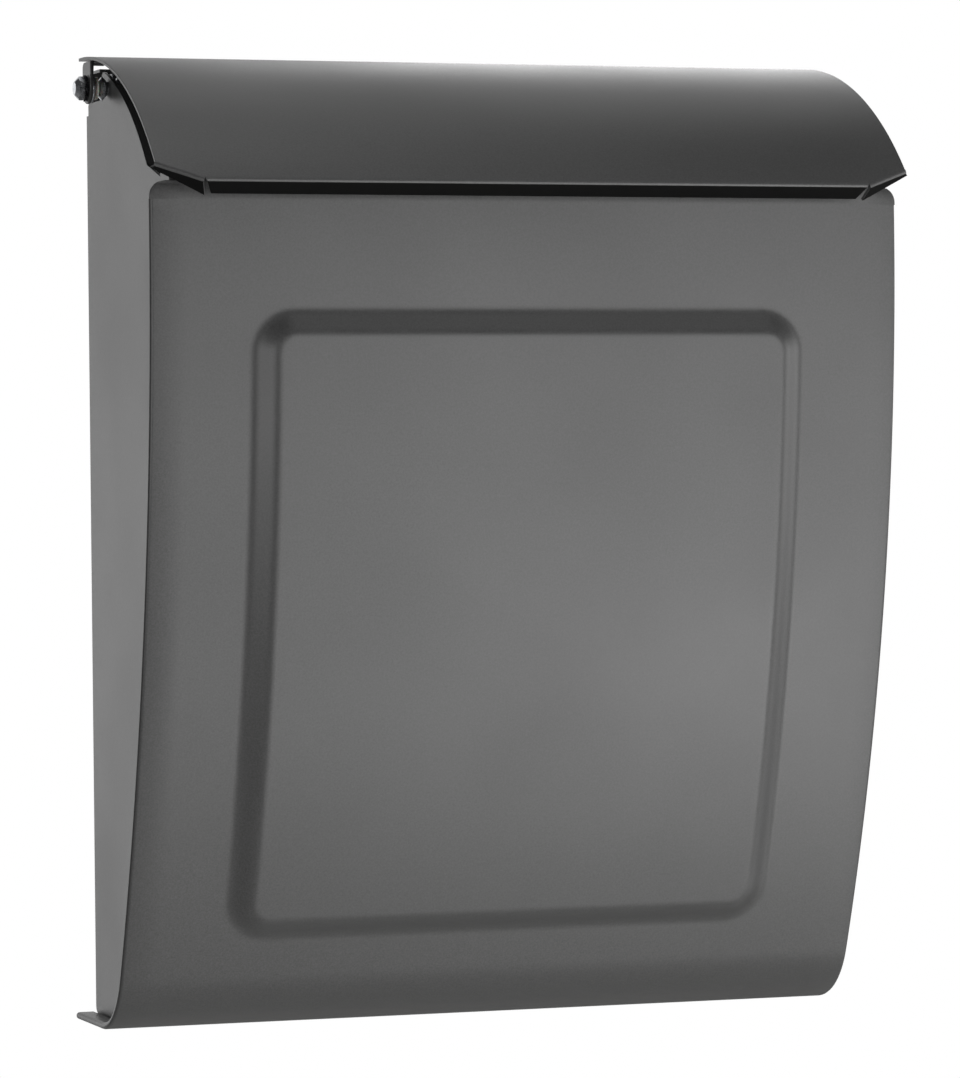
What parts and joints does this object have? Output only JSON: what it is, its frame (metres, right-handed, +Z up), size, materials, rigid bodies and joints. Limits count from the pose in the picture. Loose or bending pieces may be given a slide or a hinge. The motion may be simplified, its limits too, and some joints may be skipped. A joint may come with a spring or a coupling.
{
  "type": "wall mounted mailbox",
  "caption": "Tall sheet-steel wall mailbox with a bulging embossed front, and a curved lid that lifts on a hinge bolt at each side.",
  "frame": {"origin": "middle of the back panel's rear face, on the wall plane, at mid width and mid height", "axes": "+X to the viewer's right along the hinge axis, +Y into the wall, +Z up"},
  "size_m": [0.3098, 0.1367, 0.3754],
  "materials": {
    "powder_coat": "fine-grained satin powder coat, graphite grey",
    "zinc_plate": "bright zinc plate",
    "dark_zinc": "blackened spring steel",
    "nylon": "natural nylon"
  },
  "bodies": {
    "box": {"back_panel": "powder_coat", "front_panel": "powder_coat", "side_panel_left": "powder_coat", "side_panel_right": "powder_coat", "hinge_bolt_left": "zinc_plate", "hinge_bolt_right": "zinc_plate", "hinge_lock_washer_left": "dark_zinc", "hinge_lock_washer_right": "dark_zinc", "hinge_flat_washer_left": "zinc_plate", "hinge_flat_washer_right": "zinc_plate", "hinge_spacer_left": "nylon", "hinge_spacer_right": "nylon", "hinge_nut_left": "zinc_plate", "hinge_nut_right": "zinc_plate", "inner_washer_left": "zinc_plate", "inner_washer_right": "zinc_plate", "inner_nut_left": "zinc_plate", "inner_nut_right": "zinc_plate"},
    "lid": {"lid": "powder_coat", "lid_bracket_left": "powder_coat", "lid_bracket_right": "powder_coat"}
  },
  "joints": [
    {"name": "lid_hinge", "type": "hinge", "parent": "box", "child": "lid", "pos_m": [0, -0.0318, 0.1752], "axis": [-1, 0, 0], "range_deg": [0, 57]}
  ]
}
